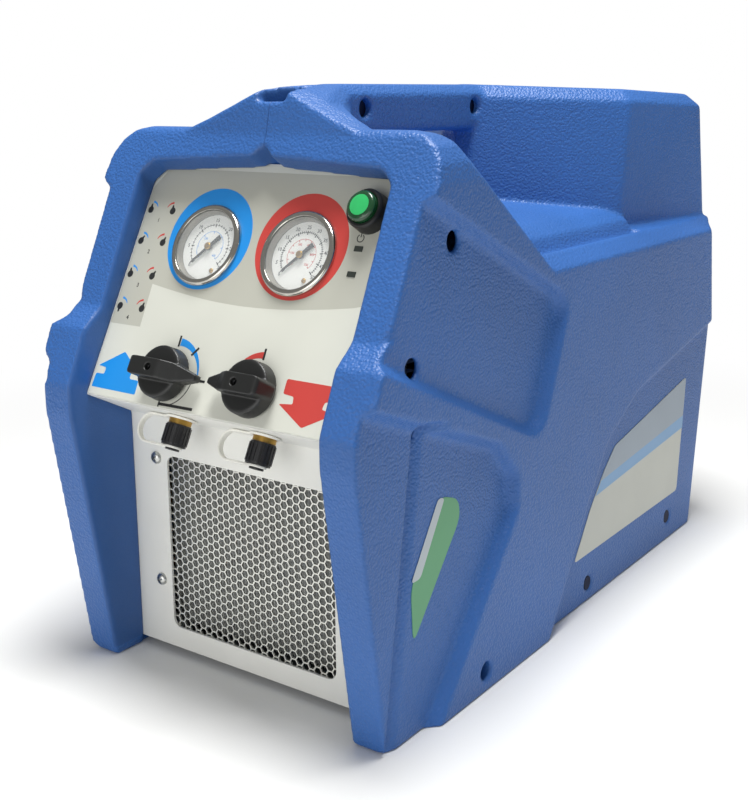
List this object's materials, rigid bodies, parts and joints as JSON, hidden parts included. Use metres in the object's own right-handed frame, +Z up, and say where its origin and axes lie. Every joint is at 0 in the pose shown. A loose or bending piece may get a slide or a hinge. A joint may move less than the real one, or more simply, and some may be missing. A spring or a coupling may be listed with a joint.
{
  "type": "refrigerant recovery machine",
  "caption": "Portable refrigerant recovery machine: moulded two-half housing with a carrying bar, inclined control face with gauges and valve knobs, capped flare ports and a mesh air inlet.",
  "frame": {"origin": "centre of the footprint at the ground", "axes": "+Y from the control face towards the rear, +X towards the outlet port's side, +Z up"},
  "size_m": [0.25, 0.5007, 0.3585],
  "materials": {
    "housing_plastic": "moulded leather grain",
    "zinc_steel": "zinc plated",
    "painted_panel": "satin light grey",
    "galvanised_sheet": "galvanised",
    "printed_film": "printed film",
    "gauge_black": "satin black",
    "bezel_steel": "polished",
    "dial_white": "matt white",
    "needle_black": "matt black",
    "gauge_glass": "clear",
    "black_plastic": "satin",
    "stem_steel": "machined",
    "brass": "machined",
    "cap_plastic": "ribbed",
    "tether_plastic": "flexible",
    "green_lens": "translucent",
    "dark_lens": "clear over dark",
    "fin_aluminium": "thin sheet",
    "copper_tube": "drawn tube",
    "motor_paint": "satin",
    "cast_aluminium": "die cast",
    "mount_rubber": "matt",
    "can_aluminium": "drawn can",
    "red_plastic": "moulded"
  },
  "bodies": {
    "machine": {"housing_right": "housing_plastic", "housing_left": "housing_plastic", "housing_screws": "zinc_steel", "panel_screws": "zinc_steel", "front_panel": "painted_panel", "chassis_base": "galvanised_sheet", "rear_panel": "galvanised_sheet", "front_mesh": "galvanised_sheet", "panel_overlay": "printed_film", "gauge_case_suction": "gauge_black", "gauge_case_discharge": "gauge_black", "gauge_bezel_suction": "bezel_steel", "gauge_bezel_discharge": "bezel_steel", "gauge_dial_suction": "dial_white", "gauge_dial_discharge": "dial_white", "gauge_lens_suction": "gauge_glass", "gauge_lens_discharge": "gauge_glass", "switch_housing": "black_plastic", "fan_shroud": "black_plastic", "power_inlet": "black_plastic", "breaker_body": "black_plastic", "valve_body_inlet": "brass", "valve_body_outlet": "brass", "fitting_inlet": "brass", "fitting_outlet": "brass", "indicator_lights": "dark_lens", "condenser_fins": "fin_aluminium", "condenser_tubes": "copper_tube", "motor": "motor_paint", "crankcase": "cast_aluminium", "cylinder_head": "cast_aluminium", "drive_mounts": "mount_rubber", "run_capacitor": "can_aluminium"},
    "inlet_knob": {"knob_inlet": "black_plastic", "valve_stem_inlet": "stem_steel"},
    "outlet_knob": {"knob_outlet": "black_plastic", "valve_stem_outlet": "stem_steel"},
    "suction_needle": {"gauge_needle_suction": "needle_black"},
    "discharge_needle": {"gauge_needle_discharge": "needle_black"},
    "inlet_cap": {"cap_inlet": "cap_plastic", "tether_inlet": "tether_plastic"},
    "outlet_cap": {"cap_outlet": "cap_plastic", "tether_outlet": "tether_plastic"},
    "power_button": {"switch_button": "green_lens"},
    "fan": {"fan_rotor": "black_plastic", "drive_shaft": "zinc_steel"},
    "reset_button": {"breaker_button": "red_plastic"}
  },
  "joints": [
    {"name": "inlet_valve_turn", "type": "hinge", "parent": "machine", "child": "inlet_knob", "pos_m": [-0.0326, -0.22675, 0.193], "axis": [0, -0.887, 0.4617], "range_deg": [-90, 90]},
    {"name": "outlet_valve_turn", "type": "hinge", "parent": "machine", "child": "outlet_knob", "pos_m": [0.0326, -0.22675, 0.193], "axis": [0, -0.887, 0.4617], "range_deg": [-90, 0]},
    {"name": "suction_needle_turn", "type": "hinge", "parent": "machine", "child": "suction_needle", "pos_m": [-0.035, -0.18958, 0.26441], "axis": [0, 0.887, -0.4617], "range_deg": [0, 270], "stiffness_Nm_per_rad": 0.0004, "springref_deg": -17.19},
    {"name": "discharge_needle_turn", "type": "hinge", "parent": "machine", "child": "discharge_needle", "pos_m": [0.035, -0.18958, 0.26441], "axis": [0, 0.887, -0.4617], "range_deg": [0, 270], "stiffness_Nm_per_rad": 0.0004, "springref_deg": -17.19},
    {"name": "inlet_cap_off", "type": "slide", "parent": "machine", "child": "inlet_cap", "axis": [0, -0.4617, -0.887], "range_m": [0, 0.014]},
    {"name": "outlet_cap_off", "type": "slide", "parent": "machine", "child": "outlet_cap", "axis": [0, -0.4617, -0.887], "range_m": [0, 0.014]},
    {"name": "power_button_press", "type": "slide", "parent": "machine", "child": "power_button", "axis": [0, 0.887, -0.4617], "range_m": [0, 0.003], "stiffness_N_per_m": 400, "springref_m": -0.002},
    {"name": "fan_spin", "type": "hinge", "parent": "machine", "child": "fan", "pos_m": [0, -0.125, 0.082], "axis": [0, 1, 0], "continuous": true},
    {"name": "reset_button_press", "type": "slide", "parent": "machine", "child": "reset_button", "axis": [0, -1, 0], "range_m": [0, 0.002], "stiffness_N_per_m": 400, "springref_m": -0.002}
  ]
}
